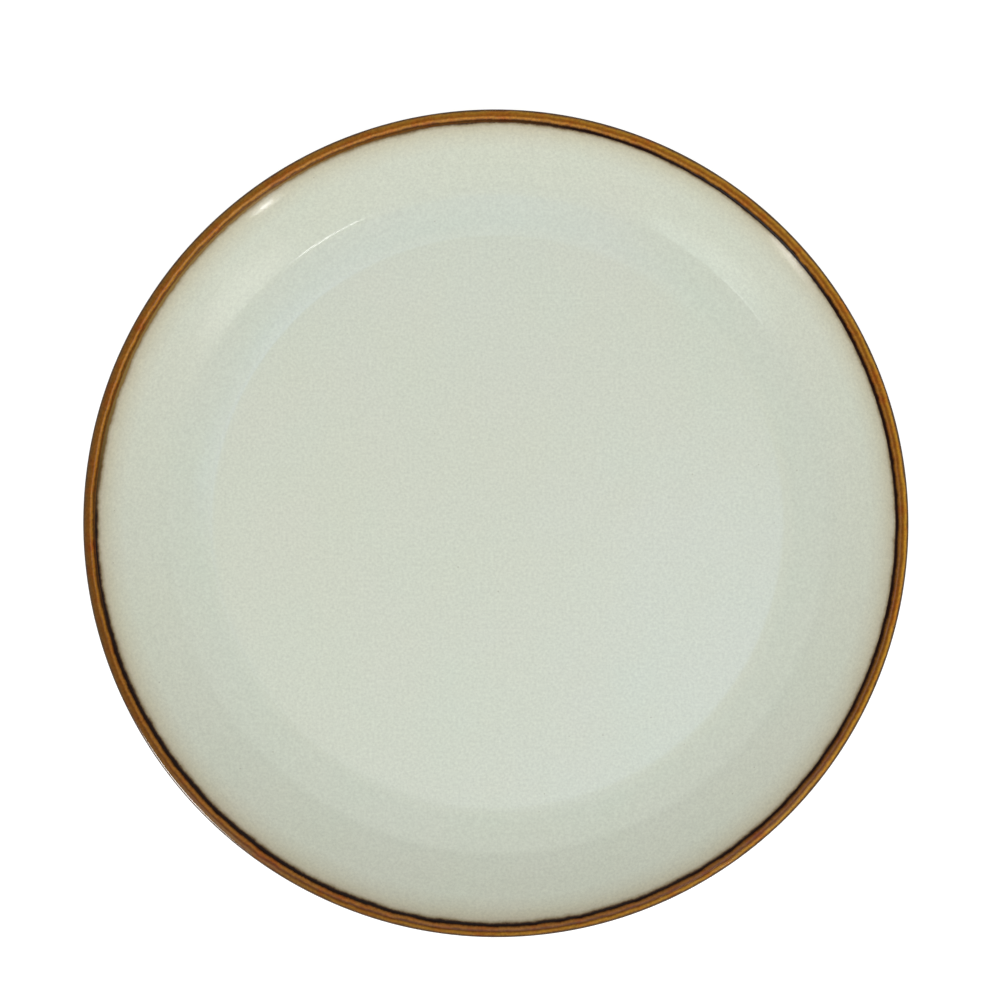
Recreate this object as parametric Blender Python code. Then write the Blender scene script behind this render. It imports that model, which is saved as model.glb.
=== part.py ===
"""A glazed dinner plate, coupe shape, with a brown band round its lip.

The plate is one turned clay body and the four coats of glaze that are fired onto it: a pale coat on the
face, a brown one over the lip, a pale one on the underside and a pale disc inside the foot ring. Each
coat is a solid of its own. The bottom of the foot ring is bare clay, and the plate stands on it.

Every piece is a section turned round the Z axis. The sections come from the outline of the finished
plate, drawn as stations: a point (radius, height) and the heading of the outline there. The clay's own
outline, and the bed of each coat, are the same stations sunk to a depth along their normals.

The origin is the middle of the circle that the foot ring stands on. Units are metres.
"""

import math

import bmesh
import bpy
from mathutils import Vector

# Driving dimensions of the finished plate.
OUTER_RADIUS = 0.135
WELL_RADIUS = 0.0940
WELL_HEIGHT = 0.0080
WALL_AT_FOOT = 0.0048
WALL_AT_LIP = 0.0050
RECESS_HEIGHT = 0.0026

# The slope of the face beyond the well, in degrees. It is steeper at two places than between them: at
# the crease that rings the well, and at the shoulder where the wall turns up.
FACE_SLOPES = (
    # radius, slope there, steps to it from the row before
    (0.0963, 9.0, 2),
    (0.1075, 13.0, 2),
    (0.1110, 29.0, 2),
    (0.1215, 35.0, 3),
)
LIP_SLOPE = 45.0
STEPS_TO_LIP = 3
LIP_STEPS = 8

# The glaze, and the gap that parts a coat from the clay and from the next coat.
GLAZE_THICKNESS = 0.0004
GAP = 0.0003
COAT = GLAZE_THICKNESS + GAP

# The brown band covers the round of the lip, and this much of the underside below it.
BAND_BELOW_LIP = 0.0020

# The foot ring, whose bottom is wiped clean of glaze.
FOOT_OUTER_RADIUS = 0.0895
FOOT_INNER_RADIUS = 0.0833
FOOT_FILLET = 0.0013
FOOT_FILLET_STEPS = 3
FOOT_EDGE = 0.0006
FOOT_EDGE_STEPS = 2
BARE_HEIGHT = 0.0009

# 48 flats to the turn keep every piece within 0.3 mm of round.
TURN_STEPS = 48
SHARP_ANGLE = math.radians(40)

# Surface colours, as linear red, green and blue, and roughness.
FINISHES = {
    "fired_clay": ((0.52, 0.40, 0.28), 0.75),
    "celadon_glaze": ((0.60, 0.63, 0.55), 0.12),
    "brown_glaze": ((0.26, 0.10, 0.02), 0.15),
}


def right_of(heading):
    """The unit normal on the right of a heading. It points into the clay all along the outline."""
    return Vector((math.sin(heading), -math.cos(heading)))


def eased(low, high, share):
    """A value that leaves low and reaches high with no sudden change of rate."""
    return low + (high - low) * share * share * (3 - 2 * share)


def face_stations():
    """The face, from the middle of the well out to the round of the lip."""
    lip_slope = math.radians(LIP_SLOPE)
    lip_start = OUTER_RADIUS - WALL_AT_LIP / 2 * (1 + math.sin(lip_slope))
    radius, height, slope = WELL_RADIUS, WELL_HEIGHT, 0.0
    stations = [(Vector((0.0, height)), slope), (Vector((radius, height)), slope)]
    rows = FACE_SLOPES + ((lip_start, LIP_SLOPE, STEPS_TO_LIP),)
    for row_radius, row_degrees, steps in rows:
        first_slope, row_slope = slope, math.radians(row_degrees)
        stride = (row_radius - radius) / steps
        for step in range(1, steps + 1):
            height += stride * math.tan(eased(first_slope, row_slope, (step - 0.5) / steps))
            radius += stride
            slope = eased(first_slope, row_slope, step / steps)
            stations.append((Vector((radius, height)), slope))
    return stations


def arc_stations(start, turn, bend_radius, steps):
    """An arc that carries an outline on from a station, turning left where turn is positive."""
    point, heading = start
    side = -1 if turn > 0 else 1
    centre = point + side * bend_radius * right_of(heading)
    headings = [heading + turn * step / steps for step in range(steps + 1)]
    return [(centre - side * bend_radius * right_of(at), at) for at in headings]


def underside_stations(face, lip_end):
    """The underside, from the lip in to the foot ring, under the face at the thickness of the wall."""
    lip_start = face[-1][0].x
    stations = [lip_end]
    for point, heading in reversed(face[1:-1]):
        share = (lip_start - point.x) / (lip_start - WELL_RADIUS)
        thickness = eased(WALL_AT_LIP, WALL_AT_FOOT, share)
        stations.append((point + thickness * right_of(heading), heading - math.pi))
    return stations


def foot_wall_stations(foot_radius, height, heading, turn):
    """A wall of the foot ring: the hollow round at its top, and down to where the glaze stops."""
    inwards = math.copysign(FOOT_FILLET, math.cos(heading))
    start = (Vector((foot_radius - inwards, height)), heading)
    stations = arc_stations(start, turn, FOOT_FILLET, FOOT_FILLET_STEPS)
    return stations + [(Vector((foot_radius, BARE_HEIGHT)), heading + turn)]


def sunk(stations, depth):
    """The points of an outline moved into the clay."""
    return [point + depth * right_of(heading) for point, heading in stations]


def sole_points(outer_radius, inner_radius):
    """The bare bottom of the foot ring, from its outer wall to its inner one, with both edges rounded."""
    down_outside = (Vector((outer_radius, FOOT_EDGE)), -math.pi / 2)
    up_inside = (Vector((inner_radius + FOOT_EDGE, 0.0)), -math.pi)
    edges = arc_stations(down_outside, -math.pi / 2, FOOT_EDGE, FOOT_EDGE_STEPS)
    edges += arc_stations(up_inside, -math.pi / 2, FOOT_EDGE, FOOT_EDGE_STEPS)
    return sunk(edges, 0.0)


def split(stations, length):
    """An outline cut in two at a length along it. Both halves hold the station at the cut."""
    for index, (here, there) in enumerate(zip(stations, stations[1:])):
        stride = (there[0] - here[0]).length
        if length <= stride:
            share = length / stride
            cut = (here[0].lerp(there[0], share), here[1] + share * (there[1] - here[1]))
            return stations[: index + 1] + [cut], [cut] + stations[index + 1 :]
        length -= stride
    raise ValueError("the cut lies beyond the end of the outline")


def coat_section(stations):
    """A coat of glaze: out along its surface, and back along its bed."""
    return sunk(stations, 0.0) + sunk(stations, GLAZE_THICKNESS)[::-1]


def turn_on_wheel(name, section, finish):
    """Makes a solid of revolution about Z from a section, which is closed or ends on the axis."""
    form = bmesh.new()
    corners = [form.verts.new((point.x, 0.0, point.y)) for point in section]
    for here, there in zip(corners, corners[1:] + corners[:1]):
        if here.co.x > 0.0 or there.co.x > 0.0:
            form.edges.new((here, there))
    bmesh.ops.spin(
        form,
        geom=form.verts[:] + form.edges[:],
        cent=(0, 0, 0),
        axis=(0, 0, 1),
        angle=math.tau,
        steps=TURN_STEPS,
        use_merge=True,
    )
    bmesh.ops.remove_doubles(form, verts=form.verts, dist=1e-7)
    bmesh.ops.recalc_face_normals(form, faces=form.faces)
    mesh = bpy.data.meshes.new(name)
    form.to_mesh(mesh)
    form.free()
    mesh.shade_smooth()
    mesh.set_sharp_from_angle(angle=SHARP_ANGLE)
    mesh.materials.append(finish)
    bpy.context.scene.collection.objects.link(bpy.data.objects.new(name, mesh))


def make_finish(name):
    """A Principled material from the table of finishes."""
    colour, roughness = FINISHES[name]
    finish = bpy.data.materials.new(name)
    finish.use_nodes = True
    shader = finish.node_tree.nodes["Principled BSDF"]
    shader.inputs["Base Color"].default_value = (*colour, 1.0)
    shader.inputs["Roughness"].default_value = roughness
    shader.inputs["Metallic"].default_value = 0.0
    return finish


def build():
    """Turns the clay body and lays the four coats of glaze on it."""
    for leftover in list(bpy.data.objects):
        bpy.data.objects.remove(leftover)

    face = face_stations()
    lip = arc_stations(face[-1], -math.pi, WALL_AT_LIP / 2, LIP_STEPS)
    underside = underside_stations(face, lip[-1])
    foot_top = WELL_HEIGHT - WALL_AT_FOOT
    underside += foot_wall_stations(FOOT_OUTER_RADIUS, foot_top, -math.pi, math.pi / 2)
    # The recess is drawn from the axis outwards, so the clay is on its left and it sinks to the left.
    recess = [(Vector((0.0, RECESS_HEIGHT)), 0.0)]
    recess += foot_wall_stations(FOOT_INNER_RADIUS, RECESS_HEIGHT, 0.0, -math.pi / 2)

    outer_clay = sunk(face + lip[1:] + underside[1:], COAT)
    inner_clay = sunk(recess, -COAT)
    sole = sole_points(outer_clay[-1].x, inner_clay[-1].x)
    clay_section = outer_clay + sole + inner_clay[::-1]
    turn_on_wheel("clay_body", clay_section, make_finish("fired_clay"))

    band_end, under_coat = split(underside, BAND_BELOW_LIP)
    band = split(lip + band_end[1:], GAP)[1]
    under_coat = split(under_coat, GAP)[1]
    recess_section = sunk(recess, 0.0) + sunk(recess, -GLAZE_THICKNESS)[::-1]
    celadon = make_finish("celadon_glaze")
    turn_on_wheel("face_glaze", coat_section(face), celadon)
    turn_on_wheel("rim_band_glaze", coat_section(band), make_finish("brown_glaze"))
    turn_on_wheel("underside_glaze", coat_section(under_coat), celadon)
    turn_on_wheel("foot_recess_glaze", recess_section, celadon)


build()
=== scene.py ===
"""A stoneware dinner plate with a celadon face and an iron-brown lip, on a white table.

The plate is drawn as it is made: the clay is turned to its section, then each coat of glaze is laid on
it. Every piece is a section spun about Z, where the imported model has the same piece. Units are metres.
"""

import math

import bmesh
import bpy
from mathutils import Matrix, Vector, noise


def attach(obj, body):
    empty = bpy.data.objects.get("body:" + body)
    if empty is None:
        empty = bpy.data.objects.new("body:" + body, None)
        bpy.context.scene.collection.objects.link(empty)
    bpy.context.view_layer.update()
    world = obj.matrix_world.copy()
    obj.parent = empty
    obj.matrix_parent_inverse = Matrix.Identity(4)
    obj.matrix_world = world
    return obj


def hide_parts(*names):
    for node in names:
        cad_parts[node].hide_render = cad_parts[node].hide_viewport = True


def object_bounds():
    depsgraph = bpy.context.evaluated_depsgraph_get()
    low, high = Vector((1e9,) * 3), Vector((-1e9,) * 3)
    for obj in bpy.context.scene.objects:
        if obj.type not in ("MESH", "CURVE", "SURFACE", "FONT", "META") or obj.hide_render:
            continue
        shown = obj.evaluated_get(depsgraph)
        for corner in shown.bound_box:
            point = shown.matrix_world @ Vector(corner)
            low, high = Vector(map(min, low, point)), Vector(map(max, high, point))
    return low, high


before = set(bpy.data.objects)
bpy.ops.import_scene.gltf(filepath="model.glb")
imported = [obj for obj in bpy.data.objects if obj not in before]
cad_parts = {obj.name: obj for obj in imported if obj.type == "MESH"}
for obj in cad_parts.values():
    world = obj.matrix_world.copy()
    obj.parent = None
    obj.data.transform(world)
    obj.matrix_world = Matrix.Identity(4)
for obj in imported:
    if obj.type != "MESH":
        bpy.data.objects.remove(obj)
cad_low, cad_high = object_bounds()
MM = 0.001

# Clay body ------------------------------------------------------------------------------------------
# The plate itself: one slab of buff stoneware, formed over a spinning mould and fired. Glaze covers it
# all but for the bottom of the foot ring, which is wiped and stays bare, dry and slightly gritty.
rim_radius = cad_high.x
well_radius = 94.0 * MM
well_height = 8.0 * MM
wall_at_foot = 4.8 * MM
wall_at_lip = 5.0 * MM
recess_height = 2.6 * MM
glaze_thickness = 0.7 * MM
foot_outer_radius = 89.5 * MM
foot_inner_radius = 83.3 * MM
foot_fillet = 1.3 * MM
foot_fillet_steps = 8
foot_edge = 0.6 * MM
foot_edge_steps = 5
foot_row_pitch = 0.05 * MM
bare_height = 0.9 * MM

# The slope of the face at some radii beyond the flat well, and the slope at which the lip takes over.
face_slopes = ((96.3 * MM, 9.0), (107.5 * MM, 13.0), (111.0 * MM, 29.0), (121.5 * MM, 35.0))
lip_slope = math.radians(45.0)
row_pitch = 0.5 * MM
well_row_pitch = 3.0 * MM
lip_steps = 64
turn_steps = 256
merge_distance = 0.0001 * MM
sharp_angle = math.radians(50)

# The plate leaves the kiln warped in broad waves, with ripples on them.
wave_size = 38 * MM
wave_height = 0.10 * MM
ripple_size = 11 * MM
ripple_height = 0.05 * MM
ripple_slice = 20 * MM


def right_of(heading):
    return Vector((math.sin(heading), -math.cos(heading)))


def eased(low, high, share):
    return low + (high - low) * share * share * (3 - 2 * share)


def face_outline():
    """The face as points and headings, from the middle of the well out to the round of the lip."""
    lip_start = rim_radius - wall_at_lip / 2 * (1 + math.sin(lip_slope))
    well_rows = round(well_radius / well_row_pitch)
    stations = [
        (Vector((well_radius * row / well_rows, well_height)), 0.0) for row in range(well_rows + 1)
    ]
    radius, height, slope = well_radius, well_height, 0.0
    for row_radius, degrees in face_slopes + ((lip_start, math.degrees(lip_slope)),):
        first_slope, last_slope = slope, math.radians(degrees)
        steps = math.ceil((row_radius - radius) / row_pitch)
        stride = (row_radius - radius) / steps
        for step in range(1, steps + 1):
            height += stride * math.tan(eased(first_slope, last_slope, (step - 0.5) / steps))
            radius += stride
            slope = eased(first_slope, last_slope, step / steps)
            stations.append((Vector((radius, height)), slope))
    return stations


def arc_outline(start, turn, bend_radius, steps):
    """An arc that carries an outline on, turning left where turn is positive."""
    point, heading = start
    side = -1 if turn > 0 else 1
    centre = point + side * bend_radius * right_of(heading)
    headings = [heading + turn * step / steps for step in range(steps + 1)]
    return [(centre - side * bend_radius * right_of(at), at) for at in headings]


def underside_outline(face, lip_end):
    """The underside, from the lip in to the foot ring, under the face at the thickness of the wall."""
    lip_start = face[-1][0].x
    stations = [lip_end]
    for point, heading in reversed(face[:-1]):
        if point.x < well_radius:
            break
        share = (lip_start - point.x) / (lip_start - well_radius)
        thickness = eased(wall_at_lip, wall_at_foot, share)
        stations.append((point + thickness * right_of(heading), heading - math.pi))
    return stations


def foot_wall_outline(foot_radius, height, heading, turn):
    """A wall of the foot ring: the hollow round at its top, and down to where the glaze stops."""
    inwards = math.copysign(foot_fillet, math.cos(heading))
    start = (Vector((foot_radius - inwards, height)), heading)
    stations = arc_outline(start, turn, foot_fillet, foot_fillet_steps)
    drop = stations[-1][0].y - bare_height
    rows = math.ceil(drop / foot_row_pitch)
    for row in range(1, rows + 1):
        level = bare_height + drop * (1 - row / rows)
        stations.append((Vector((foot_radius, level)), heading + turn))
    return stations


def sunk(stations, depth):
    return [point + depth * right_of(heading) for point, heading in stations]


def warp(point):
    """How far a spot is lifted by the slight warping of the plate in the kiln, nothing at its foot."""
    free = min(1.0, max(0.0, point.z / well_height - 0.5))
    waves = noise.noise(Vector((point.x, point.y, 0.0)) / wave_size)
    ripples = noise.noise(Vector((point.x, point.y, ripple_slice)) / ripple_size)
    return free * (wave_height * waves + ripple_height * ripples)


def spun_piece(name, section, measures, material):
    """Spins a section about Z. Each of its points keeps a measure, which the material can read."""
    form = bmesh.new()
    along = form.verts.layers.float.new("along")
    corners = []
    for point, measure in zip(section, measures):
        corner = form.verts.new((max(point.x, 0.0), 0.0, point.y))
        corner[along] = measure
        corners.append(corner)
    for here, there in zip(corners, corners[1:] + corners[:1]):
        if here.co.x > 0.0 or there.co.x > 0.0:
            form.edges.new((here, there))
    bmesh.ops.spin(
        form,
        geom=form.verts[:] + form.edges[:],
        cent=(0, 0, 0),
        axis=(0, 0, 1),
        angle=math.tau,
        steps=turn_steps,
        use_merge=True,
    )
    bmesh.ops.remove_doubles(form, verts=form.verts, dist=merge_distance)
    bmesh.ops.recalc_face_normals(form, faces=form.faces)
    for corner in form.verts:
        corner.co.z += warp(corner.co)
    mesh = bpy.data.meshes.new(name)
    form.to_mesh(mesh)
    form.free()
    mesh.shade_smooth()
    mesh.set_sharp_from_angle(angle=sharp_angle)
    mesh.materials.append(material)
    piece = bpy.data.objects.new(name, mesh)
    bpy.context.scene.collection.objects.link(piece)
    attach(piece, "root")
    return piece


def sole_points(outer_radius, inner_radius):
    """The bare bottom of the foot ring, from its outer wall to its inner one, with both edges rounded."""
    down_outside = (Vector((outer_radius, foot_edge)), -math.pi / 2)
    up_inside = (Vector((inner_radius + foot_edge, 0.0)), -math.pi)
    edges = arc_outline(down_outside, -math.pi / 2, foot_edge, foot_edge_steps)
    edges += arc_outline(up_inside, -math.pi / 2, foot_edge, foot_edge_steps)
    return sunk(edges, 0.0)


def linear(colour):
    """A hex sRGB colour as linear red, green, blue and alpha."""
    parts = [int(colour[index : index + 2], 16) / 255 for index in (1, 3, 5)]
    return (*[p / 12.92 if p <= 0.04045 else ((p + 0.055) / 1.055) ** 2.4 for p in parts], 1.0)


def add_node(material, kind, settings=None, **inputs):
    """Adds a node. Settings are its properties. Inputs are sockets' values, or the sockets they link to."""
    node = material.node_tree.nodes.new("ShaderNode" + kind)
    for key, value in (settings or {}).items():
        setattr(node, key, value)
    for key, value in inputs.items():
        socket = node.inputs[int(key[1:]) if key[1:].isdigit() else key.replace("_", " ")]
        if isinstance(value, bpy.types.NodeSocket):
            material.node_tree.links.new(value, socket)
        else:
            socket.default_value = value
    return node


def new_material(name):
    material = bpy.data.materials.new(name)
    material.use_nodes = True
    material.node_tree.nodes.clear()
    return material


def finish_material(material, shader):
    output = material.node_tree.nodes.new("ShaderNodeOutputMaterial")
    material.node_tree.links.new(shader.outputs[0], output.inputs["Surface"])
    return material


face = face_outline()
lip = arc_outline(face[-1], -math.pi, wall_at_lip / 2, lip_steps)
underside = underside_outline(face, lip[-1])
foot_top = well_height - wall_at_foot
underside += foot_wall_outline(foot_outer_radius, foot_top, -math.pi, math.pi / 2)
recess = [(Vector((0.0, recess_height)), 0.0)]
recess += foot_wall_outline(foot_inner_radius, recess_height, 0.0, -math.pi / 2)

# Stoneware clay, fired and left bare: matt and biscuit coloured, with iron grains and a gritty tooth.
stoneware = new_material("bare_fired_stoneware")
place = add_node(stoneware, "TexCoord").outputs["Object"]
blush = add_node(stoneware, "TexNoise", Vector=place, Scale=1 / (14 * MM), Detail=3.0)
grit = add_node(stoneware, "TexNoise", Vector=place, Scale=1 / (0.5 * MM), Detail=4.0)
grain = add_node(stoneware, "TexVoronoi", Vector=place, Scale=1 / (1.6 * MM))
flushed = add_node(
    stoneware, "Mix", {"data_type": "RGBA"},
    _0=blush.outputs["Fac"], _6=linear("#D2BC9C"), _7=linear("#BC9A74"),
)
iron_grain = add_node(
    stoneware, "MapRange", {"interpolation_type": "SMOOTHSTEP"}, Value=grain.outputs["Distance"],
    From_Min=0.12, From_Max=0.24, To_Min=0.75, To_Max=0.0,
)
peppered = add_node(
    stoneware, "Mix", {"data_type": "RGBA"},
    _0=iron_grain.outputs[0], _6=flushed.outputs[2], _7=linear("#6E4B33"),
)
tooth = add_node(stoneware, "Bump", Strength=0.6, Distance=0.06 * MM, Height=grit.outputs["Fac"])
finish_material(stoneware, add_node(
    stoneware, "BsdfPrincipled",
    Base_Color=peppered.outputs[2], Roughness=0.82, Normal=tooth.outputs["Normal"],
))

outer_clay = sunk(face + lip[1:] + underside[1:], glaze_thickness)
inner_clay = sunk(recess, -glaze_thickness)
clay_section = outer_clay + sole_points(outer_clay[-1].x, inner_clay[-1].x) + inner_clay[::-1]
clay_plate = spun_piece("clay_plate", clay_section, [0.0] * len(clay_section), stoneware)
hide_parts("clay_body")

# Celadon glaze --------------------------------------------------------------------------------------
# A pale grey-green feldspar glaze, poured over the face, the underside and the foot's recess, and
# melted to glass. It runs thin towards the lip, where the brown of the band also bleeds into it.
band_below_lip = 2.0 * MM
bead_length = 0.5 * MM
bead_depth = 0.5 * MM
bed_stride = 6
celadon_far_from_band = 60 * MM
blush_top = 2.1 * MM

# Clouds are slight drifts in the glaze's thickness, and grain is the orange peel of its surface.
cloud_size = 26 * MM
grain_size = 0.9 * MM
grain_contrast = 0.11
speck_spacing = 9 * MM

# The edge between the pale glaze and the brown wanders. Both glazes are drawn with the same noise.
wander_noise = {"Scale": 1 / (7 * MM), "Detail": 6.0, "Roughness": 0.72}
face_wander = 0.45 * MM
band_wander = 0.35 * MM


def lengths_along(stations):
    """The distance of each station from the first, along its outline."""
    lengths = [0.0]
    for (here, _), (there, _) in zip(stations, stations[1:]):
        lengths.append(lengths[-1] + (there - here).length)
    return lengths


def beaded(stations):
    """How far the surface of a coat draws in at its last edge, where the melted glaze rounds off."""
    lengths = lengths_along(stations)
    shares = [max(0.0, 1 - (lengths[-1] - length) / bead_length) for length in lengths]
    return [bead_depth * (1 - math.sqrt(1 - share * share)) for share in shares]


def coat(name, stations, measures, material, hollows, side=1):
    """A closed coat of glaze: its surface, sunk by the hollows, and its bed, drawn more coarsely."""
    surface = [
        point + side * hollow * right_of(heading)
        for (point, heading), hollow in zip(stations, hollows)
    ]
    kept = sorted({0, len(stations) - 1, *range(0, len(stations), bed_stride)}, reverse=True)
    bed = sunk([stations[index] for index in kept], side * glaze_thickness)
    bed_measures = [measures[index] for index in kept]
    return spun_piece(name, surface + bed, measures + bed_measures, material)


def add_ramp(material, distance, stops):
    """A colour ramp over a distance in metres. Its stops are millimetres, from 0, and colours."""
    span = stops[-1][0]
    share = add_node(material, "MapRange", Value=distance, From_Min=0.0, From_Max=span * MM)
    node = add_node(material, "ValToRGB", Fac=share.outputs[0])
    ramp = node.color_ramp
    ramp.elements[0].color, ramp.elements[1].color = linear(stops[0][1]), linear(stops[-1][1])
    for run, colour in stops[1:-1]:
        ramp.elements.new(run / span).color = linear(colour)
    return node.outputs["Color"]


def side_at(bearing):
    """The direction from the plate's middle to one side of it, in degrees from +X towards +Y."""
    turn = math.radians(bearing)
    return (math.cos(turn), math.sin(turn), 0.0)


band_rows = sum(1 for run in lengths_along(underside) if run < band_below_lip)
band = lip + underside[1:band_rows]
under_coat = underside[band_rows - 1 :]

celadon = new_material("celadon_glaze")
place = add_node(celadon, "TexCoord").outputs["Object"]
from_band = add_node(celadon, "Attribute", {"attribute_name": "along"}).outputs["Fac"]
clouds = add_node(celadon, "TexNoise", Vector=place, Scale=1 / cloud_size, Detail=3.0, Roughness=0.6)
tints = add_node(celadon, "TexNoise", {"noise_dimensions": "4D"}, Vector=place, W=7.0,
                 Scale=1 / cloud_size, Detail=2.0)
grain = add_node(celadon, "TexNoise", Vector=place, Scale=1 / grain_size, Detail=2.0, Roughness=0.6)
cloudy = add_node(
    celadon, "Mix", {"data_type": "RGBA"},
    _0=clouds.outputs["Fac"], _6=linear("#D1DBCB"), _7=linear("#D7DAC7"),
)
tinted = add_node(
    celadon, "Mix", {"data_type": "RGBA"},
    _0=tints.outputs["Fac"], _6=cloudy.outputs[2], _7=linear("#D6D9CB"),
)
grainy = add_node(
    celadon, "MapRange", Value=grain.outputs["Fac"],
    From_Min=0.2, From_Max=0.8, To_Min=1 - grain_contrast, To_Max=1 + grain_contrast,
)
base = add_node(celadon, "VectorMath", {"operation": "SCALE"},
                _0=tinted.outputs[2], Scale=grainy.outputs[0])

# Iron specks from the clay, each about half a millimetre across, burn through here and there.
specks = add_node(celadon, "TexVoronoi", Vector=place, Scale=1 / speck_spacing)
speck = add_node(
    celadon, "MapRange", {"interpolation_type": "SMOOTHSTEP"}, Value=specks.outputs["Distance"],
    From_Min=0.010, From_Max=0.036, To_Min=0.45, To_Max=0.0,
)
specked = add_node(
    celadon, "Mix", {"data_type": "RGBA"},
    _0=speck.outputs[0], _6=base.outputs[0], _7=linear("#7D6F55"),
)
wander = add_node(celadon, "TexNoise", Vector=place, **wander_noise)
wandering = add_node(
    celadon, "MapRange", {"clamp": False}, Value=wander.outputs["Fac"],
    From_Min=0.3, From_Max=0.7, To_Min=face_wander, To_Max=-face_wander,
)

# The band was brushed slightly off centre, so its dark edge creeps further in on one side of the plate.
crept_side = side_at(208)
reach = add_node(celadon, "VectorMath", {"operation": "DOT_PRODUCT"}, _0=place, _1=crept_side)
creep = add_node(
    celadon, "MapRange", Value=reach.outputs["Value"],
    From_Min=-rim_radius, From_Max=rim_radius, To_Min=0.80 * MM, To_Max=-0.45 * MM,
)
distance = add_node(celadon, "Math", {"operation": "ADD"}, _0=from_band, _1=wandering.outputs[0])
distance = add_node(celadon, "Math", {"operation": "ADD"}, _0=distance.outputs[0], _1=creep.outputs[0])
# The stain of the band, the thin warm glaze near the lip, and a faint cool grey in the hollow round the
# well, which is a painted bluish reflection.
stain_and_reflection_tint = add_ramp(celadon, distance.outputs[0], (
    (0.0, "#200C05"), (0.35, "#3A2014"), (0.7, "#866A52"), (1.2, "#C9B6A0"), (2.1, "#EDE0D5"),
    (3.8, "#F7EEE4"), (6.5, "#FCF7F2"), (11.0, "#FFFEFD"), (22.0, "#FFFFFF"), (28.0, "#FBFCFD"),
    (37.0, "#FAFCFD"), (43.0, "#FFFFFF"), (60.0, "#FFFFFF"),
))

# On one side of the plate (bearing 138) the band's dark inner edge is lightened to brown: painted light,
# for the window in front mirrored where the lip faces it.
reach = add_node(celadon, "VectorMath", {"operation": "DOT_PRODUCT"}, _0=place, _1=side_at(138))
lit_side_share = add_node(
    celadon, "MapRange", {"interpolation_type": "SMOOTHSTEP"}, Value=reach.outputs["Value"],
    From_Min=0.70 * rim_radius, From_Max=0.95 * rim_radius,
)
lit_edge = add_node(
    celadon, "Mix", {"data_type": "RGBA", "blend_type": "LIGHTEN"},
    _0=lit_side_share.outputs[0], _6=stain_and_reflection_tint, _7=linear("#A8844C"),
)
stained_and_lit = add_node(
    celadon, "Mix", {"data_type": "RGBA", "blend_type": "MULTIPLY"},
    _0=1.0, _6=specked.outputs[2], _7=lit_edge.outputs[2],
)

# The coat is thin round the foot, so the clay shows warm through the last millimetre of it.
level = add_node(celadon, "SeparateXYZ", _0=place).outputs["Z"]
foot_blush = add_node(
    celadon, "MapRange", {"interpolation_type": "SMOOTHSTEP"}, Value=level,
    From_Min=bare_height, From_Max=blush_top, To_Min=0.75, To_Max=0.0,
)
blushed = add_node(
    celadon, "Mix", {"data_type": "RGBA"},
    _0=foot_blush.outputs[0], _6=stained_and_lit.outputs[2], _7=linear("#CDB28E"),
)
skin = add_node(celadon, "Bump", Strength=0.5, Distance=0.02 * MM, Height=grain.outputs["Fac"])
finish_material(celadon, add_node(
    celadon, "BsdfPrincipled",
    Base_Color=blushed.outputs[2], Roughness=0.13, IOR=1.5, Normal=skin.outputs["Normal"],
))

face_coat = coat(
    "face_glaze_coat", face, lengths_along(face[::-1])[::-1], celadon, [0.0] * len(face)
)
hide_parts("face_glaze")
under_piece = coat(
    "underside_glaze_coat", under_coat, lengths_along(under_coat), celadon, beaded(under_coat)
)
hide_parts("underside_glaze")
far_from_band = [celadon_far_from_band] * len(recess)
recess_piece = coat(
    "foot_recess_glaze_coat", recess, far_from_band, celadon, beaded(recess), side=-1
)
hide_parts("foot_recess_glaze")

# Brown lip ------------------------------------------------------------------------------------------
# A band of iron glaze, laid on the lip with a brush while the plate spins. It pools almost black along its
# inner edge, and breaks to golden brown on two low ridges that the turning left, where it is thin. The
# lighter golden lines that grow stronger towards one side of the plate are painted light, for the parts of
# the ridges and pool that face the lamps.
groove_run = 2.9 * MM
groove_width = 0.35 * MM
groove_depth = 0.08 * MM
pool_depth = 0.05 * MM
pool_width = 0.6 * MM
streak_width = 0.45 * MM
streak_length = 16 * MM
pit_size = 0.9 * MM
flush_size = 6 * MM
band_runs = lengths_along(band)
band_relief = [
    groove_depth * math.exp(-(((run - groove_run) / groove_width) ** 2))
    - pool_depth * math.exp(-(((run - pool_width) / pool_width) ** 2))
    for run in band_runs
]

# Painted light: lighter golden lines along the pool, on two stretches of the inner ridge, in the groove,
# and on the outer ridge, each strongest on the side of the plate where that part of the lip faces the
# lamps. The share of its colour that shows runs evenly from the far side to the most lit one.
painted_lit_lines = (
    # distance from the inner edge, half width, bearing of the most lit side, far share, near share, colour
    (0.60 * MM, 1.00 * MM, 138, -2.6, 0.90, "#8C5B1E"),
    (1.95 * MM, 0.85 * MM, 108, 0.00, 0.98, "#B97C22"),
    (1.80 * MM, 0.90 * MM, -98, -1.3, 0.60, "#A87030"),
    (2.90 * MM, 0.80 * MM, 85, 0.00, 0.80, "#9C6018"),
    (3.75 * MM, 0.95 * MM, 10, 0.02, 0.92, "#C08A26"),
)

iron = new_material("iron_brown_glaze")
place = add_node(iron, "TexCoord").outputs["Object"]
along = add_node(iron, "Attribute", {"attribute_name": "along"}).outputs["Fac"]
wander = add_node(iron, "TexNoise", Vector=place, **wander_noise)
wandering = add_node(
    iron, "MapRange", {"clamp": False}, Value=wander.outputs["Fac"],
    From_Min=0.3, From_Max=0.7, To_Min=-band_wander, To_Max=band_wander,
)
reach = add_node(iron, "VectorMath", {"operation": "DOT_PRODUCT"}, _0=place, _1=crept_side)
creep = add_node(
    iron, "MapRange", Value=reach.outputs["Value"],
    From_Min=-rim_radius, From_Max=rim_radius, To_Min=0.15 * MM, To_Max=0.65 * MM,
)
distance = add_node(iron, "Math", {"operation": "ADD"}, _0=along, _1=wandering.outputs[0])
distance = add_node(iron, "Math", {"operation": "ADD"}, _0=distance.outputs[0], _1=creep.outputs[0])

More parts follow.
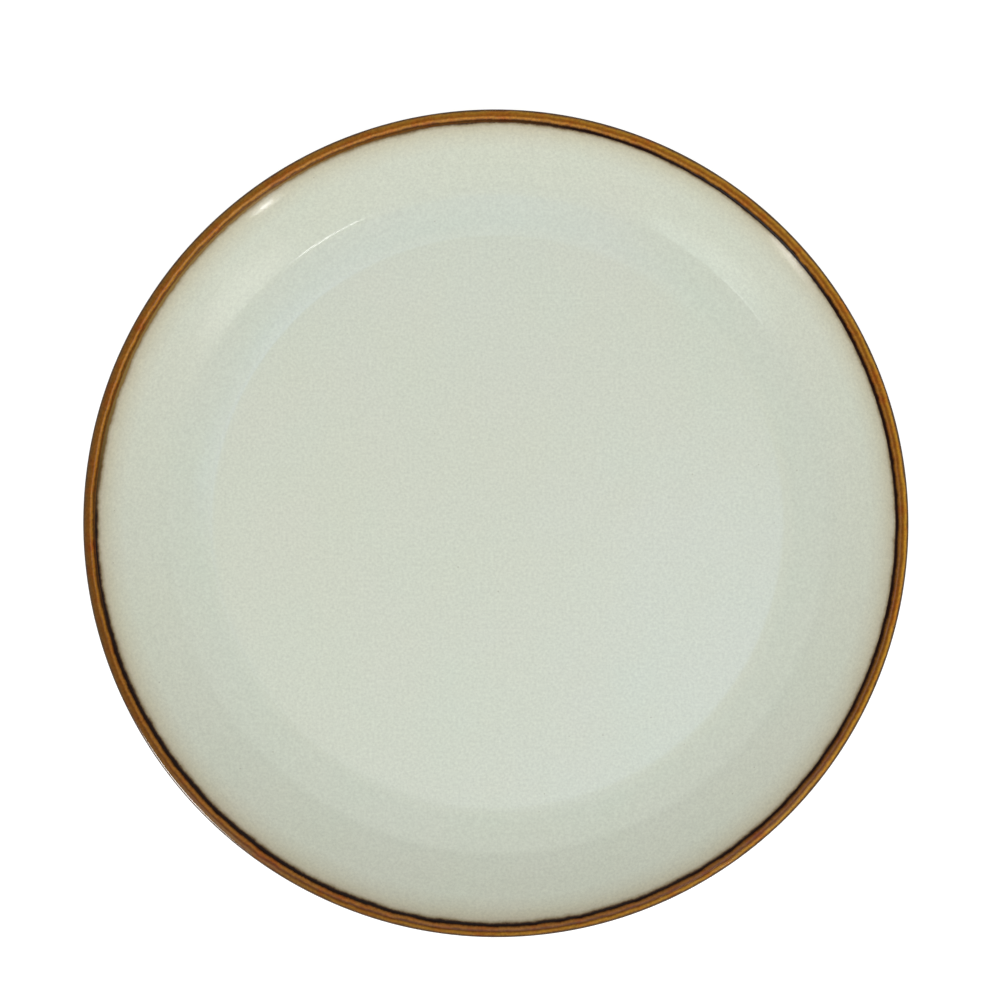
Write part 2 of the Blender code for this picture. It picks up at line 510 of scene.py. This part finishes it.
# The brush leaves streaks that run with the lip: they change slowly round it and quickly across it.
across = add_node(iron, "Math", {"operation": "MULTIPLY"}, _0=along, _1=1 / streak_width)
streaks = add_node(
    iron, "TexNoise", {"noise_dimensions": "4D"},
    Vector=place, W=across.outputs[0], Scale=1 / streak_length, Detail=3.0, Roughness=0.6,
)
glaze_and_lit_colour = add_ramp(iron, distance.outputs[0], (
    (0.0, "#42281A"), (0.3, "#200C05"), (0.95, "#1C0A04"), (1.45, "#4A2A0E"), (2.1, "#6A4015"),
    (2.9, "#5A340E"), (3.8, "#6C461D"), (4.8, "#553A1C"), (6.2, "#3A2410"), (9.0, "#3A2410"),
    (9.85, "#5C3A1C"),
))
# Mix in each line of painted light, strongest on its most lit side of the plate.
for run, half_width, bearing, least, most, colour in painted_lit_lines:
    off_ridge = add_node(iron, "Math", {"operation": "SUBTRACT"}, _0=distance.outputs[0], _1=run)
    off_ridge = add_node(iron, "Math", {"operation": "ABSOLUTE"}, _0=off_ridge.outputs[0])
    on_ridge = add_node(
        iron, "MapRange", {"interpolation_type": "SMOOTHSTEP"}, Value=off_ridge.outputs[0],
        From_Min=0.0, From_Max=half_width, To_Min=1.0, To_Max=0.0,
    )
    reach = add_node(iron, "VectorMath", {"operation": "DOT_PRODUCT"}, _0=place, _1=side_at(bearing))
    lit_side_share = add_node(
        iron, "MapRange", Value=reach.outputs["Value"],
        From_Min=-rim_radius, From_Max=rim_radius, To_Min=least, To_Max=most,
    )
    lit_showing = add_node(iron, "Math", {"operation": "MULTIPLY"},
                       _0=on_ridge.outputs[0], _1=lit_side_share.outputs[0])
    glaze_and_lit_colour = add_node(
        iron, "Mix", {"data_type": "RGBA"},
        _0=lit_showing.outputs[0], _6=glaze_and_lit_colour, _7=linear(colour),
    ).outputs[2]
streaky = add_node(
    iron, "MapRange", Value=streaks.outputs["Fac"],
    From_Min=0.25, From_Max=0.75, To_Min=0.6, To_Max=1.4,
)

# Pits and flecks under a millimetre across break the streaks up.
pits = add_node(iron, "TexNoise", Vector=place, Scale=1 / pit_size, Detail=3.0, Roughness=0.6)
flecked = add_node(
    iron, "MapRange", Value=pits.outputs["Fac"],
    From_Min=0.25, From_Max=0.75, To_Min=0.72, To_Max=1.28,
)
strength = add_node(iron, "Math", {"operation": "MULTIPLY"}, _0=streaky.outputs[0], _1=flecked.outputs[0])
streaked = add_node(iron, "VectorMath", {"operation": "SCALE"}, _0=glaze_and_lit_colour, Scale=strength.outputs[0])
flushes = add_node(iron, "TexNoise", Vector=place, Scale=1 / flush_size, Detail=3.0, Roughness=0.6)
flush = add_node(iron, "MapRange", Value=flushes.outputs["Fac"],
                 From_Min=0.5, From_Max=0.75, To_Min=0.0, To_Max=0.8)
reddened = add_node(
    iron, "Mix", {"data_type": "RGBA", "blend_type": "MULTIPLY"},
    _0=flush.outputs[0], _6=streaked.outputs[0], _7=linear("#FFBC9C"),
)
skin = add_node(iron, "Bump", Strength=0.4, Distance=0.03 * MM, Height=pits.outputs["Fac"])
finish_material(iron, add_node(
    iron, "BsdfPrincipled",
    Base_Color=reddened.outputs[2], Roughness=0.14, Specular_IOR_Level=0.38, Normal=skin.outputs["Normal"],
))
rim = coat("rim_band_glaze_coat", band, band_runs, iron, band_relief)
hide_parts("rim_band_glaze")

# Table ----------------------------------------------------------------------------------------------
# A white table top lit softly from below, as for goods shot on white, so hardly a shadow shows. The
# glaze doesn't mirror it, which keeps the outer edge of the lip as dark as against a real room.
table_size = 6.0
table_drop = 0.02 * MM
table_glow = 0.75
table_form = bmesh.new()
bmesh.ops.create_grid(table_form, x_segments=1, y_segments=1, size=table_size)
table_mesh = bpy.data.meshes.new("table_top")
table_form.to_mesh(table_mesh)
table_form.free()
table_top = bpy.data.objects.new("table_top", table_mesh)
table_top.visible_glossy = False
table_top.location.z = -table_drop
bpy.context.scene.collection.objects.link(table_top)
acrylic = new_material("white_acrylic")
finish_material(acrylic, add_node(
    acrylic, "BsdfPrincipled",
    Base_Color=linear("#B4B4B4"), Roughness=0.6, Specular_IOR_Level=0.0,
    Emission_Color=(1, 1, 1, 1), Emission_Strength=table_glow,
))
table_mesh.materials.append(acrylic)

# Light ----------------------------------------------------------------------------------------------
# Soft light from all round. What the glaze mirrors of the room is dim, but for two soft windows in
# front, three cool glows overhead, a bright sheet low beside the plate, and the panes of four lamps.
# Directions are a bearing from +X towards +Y and a height above the table, in degrees.
room_light = 0.64
ceiling_mirrored = 0.07
skirting_mirrored = 0.25
skirting_top = 0.45
clutter_scale = 9.0
clutter_shift = 0.36
windows = (
    # bearing, height, half width of the bright middle, half width with the soft edge, radiance
    (313, 38, 2, 12, (1.60, 1.62, 1.55)),
    (226, 36, 2, 12, (1.30, 1.55, 1.60)),
    (291, 84.3, 5.0, 6.2, (0.35, 0.75, 1.60)),
    (135, 81.9, 2, 6.5, (0.15, 0.35, 0.85)),
    (262, 75, 3, 14, (0.15, 0.40, 0.85)),
    (219, -8, 5, 11, (20.0, 20.0, 19.0)),
)
lamps = (
    # name, bearing, height, distance, width, length, radiance, whether the glaze mirrors it
    ("front_sky", 270, 58, 2.5, 1.6, 1.2, 4.0, False),
    ("window_pane", 293, 52, 2.0, 0.24, 0.12, 13.0, True),
    ("second_pane", 219, 47, 2.0, 0.20, 0.12, 3.5, True),
    ("low_pane", 300, 14, 2.0, 0.10, 0.05, 42.0, True),
    ("second_low_pane", 218, 4.5, 2.0, 0.12, 0.04, 12.0, True),
)


def towards(bearing, height):
    """The direction of a light as seen from the plate, in degrees."""
    turn, rise = math.radians(bearing), math.radians(height)
    return Vector((math.cos(turn) * math.cos(rise), math.sin(turn) * math.cos(rise), math.sin(rise)))


room = bpy.data.worlds.new("white_room")
bpy.context.scene.world = room
room.use_nodes = True
room.node_tree.nodes.clear()
gaze = add_node(room, "TexCoord").outputs["Generated"]
rise = add_node(room, "SeparateXYZ", _0=gaze).outputs["Z"]
mirrored = add_node(
    room, "MapRange", {"interpolation_type": "SMOOTHSTEP"}, Value=rise,
    From_Min=0.0, From_Max=skirting_top, To_Min=skirting_mirrored, To_Max=ceiling_mirrored,
).outputs[0]

# What stands about in the room breaks up the outlines of the windows.
clutter = add_node(room, "TexNoise", Vector=gaze, Scale=clutter_scale, Detail=3.0, Roughness=0.6)
aside = add_node(room, "VectorMath", {"operation": "MULTIPLY_ADD"},
                 _0=clutter.outputs["Color"], _1=[clutter_shift] * 3, _2=[-clutter_shift / 2] * 3)
aside = add_node(room, "VectorMath", {"operation": "ADD"}, _0=gaze, _1=aside.outputs[0])
aside = add_node(room, "VectorMath", {"operation": "NORMALIZE"}, _0=aside.outputs[0])
for bearing, height, middle, edge, radiance in windows:
    facing = add_node(room, "VectorMath", {"operation": "DOT_PRODUCT"},
                      _0=aside.outputs[0], _1=towards(bearing, height))
    inside = add_node(
        room, "MapRange", {"interpolation_type": "SMOOTHSTEP"}, Value=facing.outputs["Value"],
        From_Min=math.cos(math.radians(edge)), From_Max=math.cos(math.radians(middle)),
        To_Min=0.0, To_Max=1.0,
    )
    mirrored = add_node(room, "VectorMath", {"operation": "MULTIPLY_ADD"},
                        _0=inside.outputs[0], _1=radiance, _2=mirrored).outputs[0]
ray = add_node(room, "LightPath")
mirror_view = add_node(room, "Background", Color=mirrored, Strength=1.0)
even_light = add_node(room, "Background", Color=(1, 1, 1, 1), Strength=room_light)
backdrop = add_node(room, "Background", Color=(1, 1, 1, 1), Strength=1.0)
unseen = add_node(room, "MixShader", _0=ray.outputs["Is Glossy Ray"],
                  _1=even_light.outputs[0], _2=mirror_view.outputs[0])
seen = add_node(room, "MixShader", _0=ray.outputs["Is Camera Ray"],
                _1=unseen.outputs[0], _2=backdrop.outputs[0])
surround = room.node_tree.nodes.new("ShaderNodeOutputWorld")
room.node_tree.links.new(seen.outputs[0], surround.inputs["Surface"])


def soft_light(name, bearing, height, distance, wide, high, radiance, mirrored):
    """A soft rectangular light that faces the plate."""
    lamp = bpy.data.lights.new(name, "AREA")
    lamp.shape = "RECTANGLE"
    lamp.size, lamp.size_y = wide, high
    lamp.energy = radiance * math.pi * wide * high
    light = bpy.data.objects.new(name, lamp)
    light.location = towards(bearing, height) * distance
    light.rotation_euler = (-light.location).to_track_quat("-Z", "Y").to_euler()
    light.visible_camera = False
    light.visible_glossy = mirrored
    bpy.context.scene.collection.objects.link(light)


for lamp_row in lamps:
    soft_light(*lamp_row)

# Camera ---------------------------------------------------------------------------------------------
# Almost straight above, a few degrees to the right, on a long lens.
camera_height = 1.1
camera_tilt = math.radians(4.8)
camera_bearing = math.radians(12.5)
view_width = 0.3259
aim = Vector((2.7 * MM, 7.9 * MM, 24.5 * MM))
lens = bpy.data.cameras.new("camera")
lens.sensor_width = 36.0
lens.lens = lens.sensor_width * camera_height / view_width
camera = bpy.data.objects.new("camera", lens)
offset = Vector((
    math.sin(camera_tilt) * math.cos(camera_bearing),
    math.sin(camera_tilt) * math.sin(camera_bearing),
    math.cos(camera_tilt),
))
rightwards = Vector((0, 1, 0)).cross(offset).normalized()
turned = Matrix((rightwards, offset.cross(rightwards), offset)).transposed().to_4x4()
camera.matrix_world = Matrix.Translation(aim + offset * camera_height) @ turned
bpy.context.scene.collection.objects.link(camera)
bpy.context.scene.camera = camera
bpy.context.scene.view_settings.view_transform = "Standard"
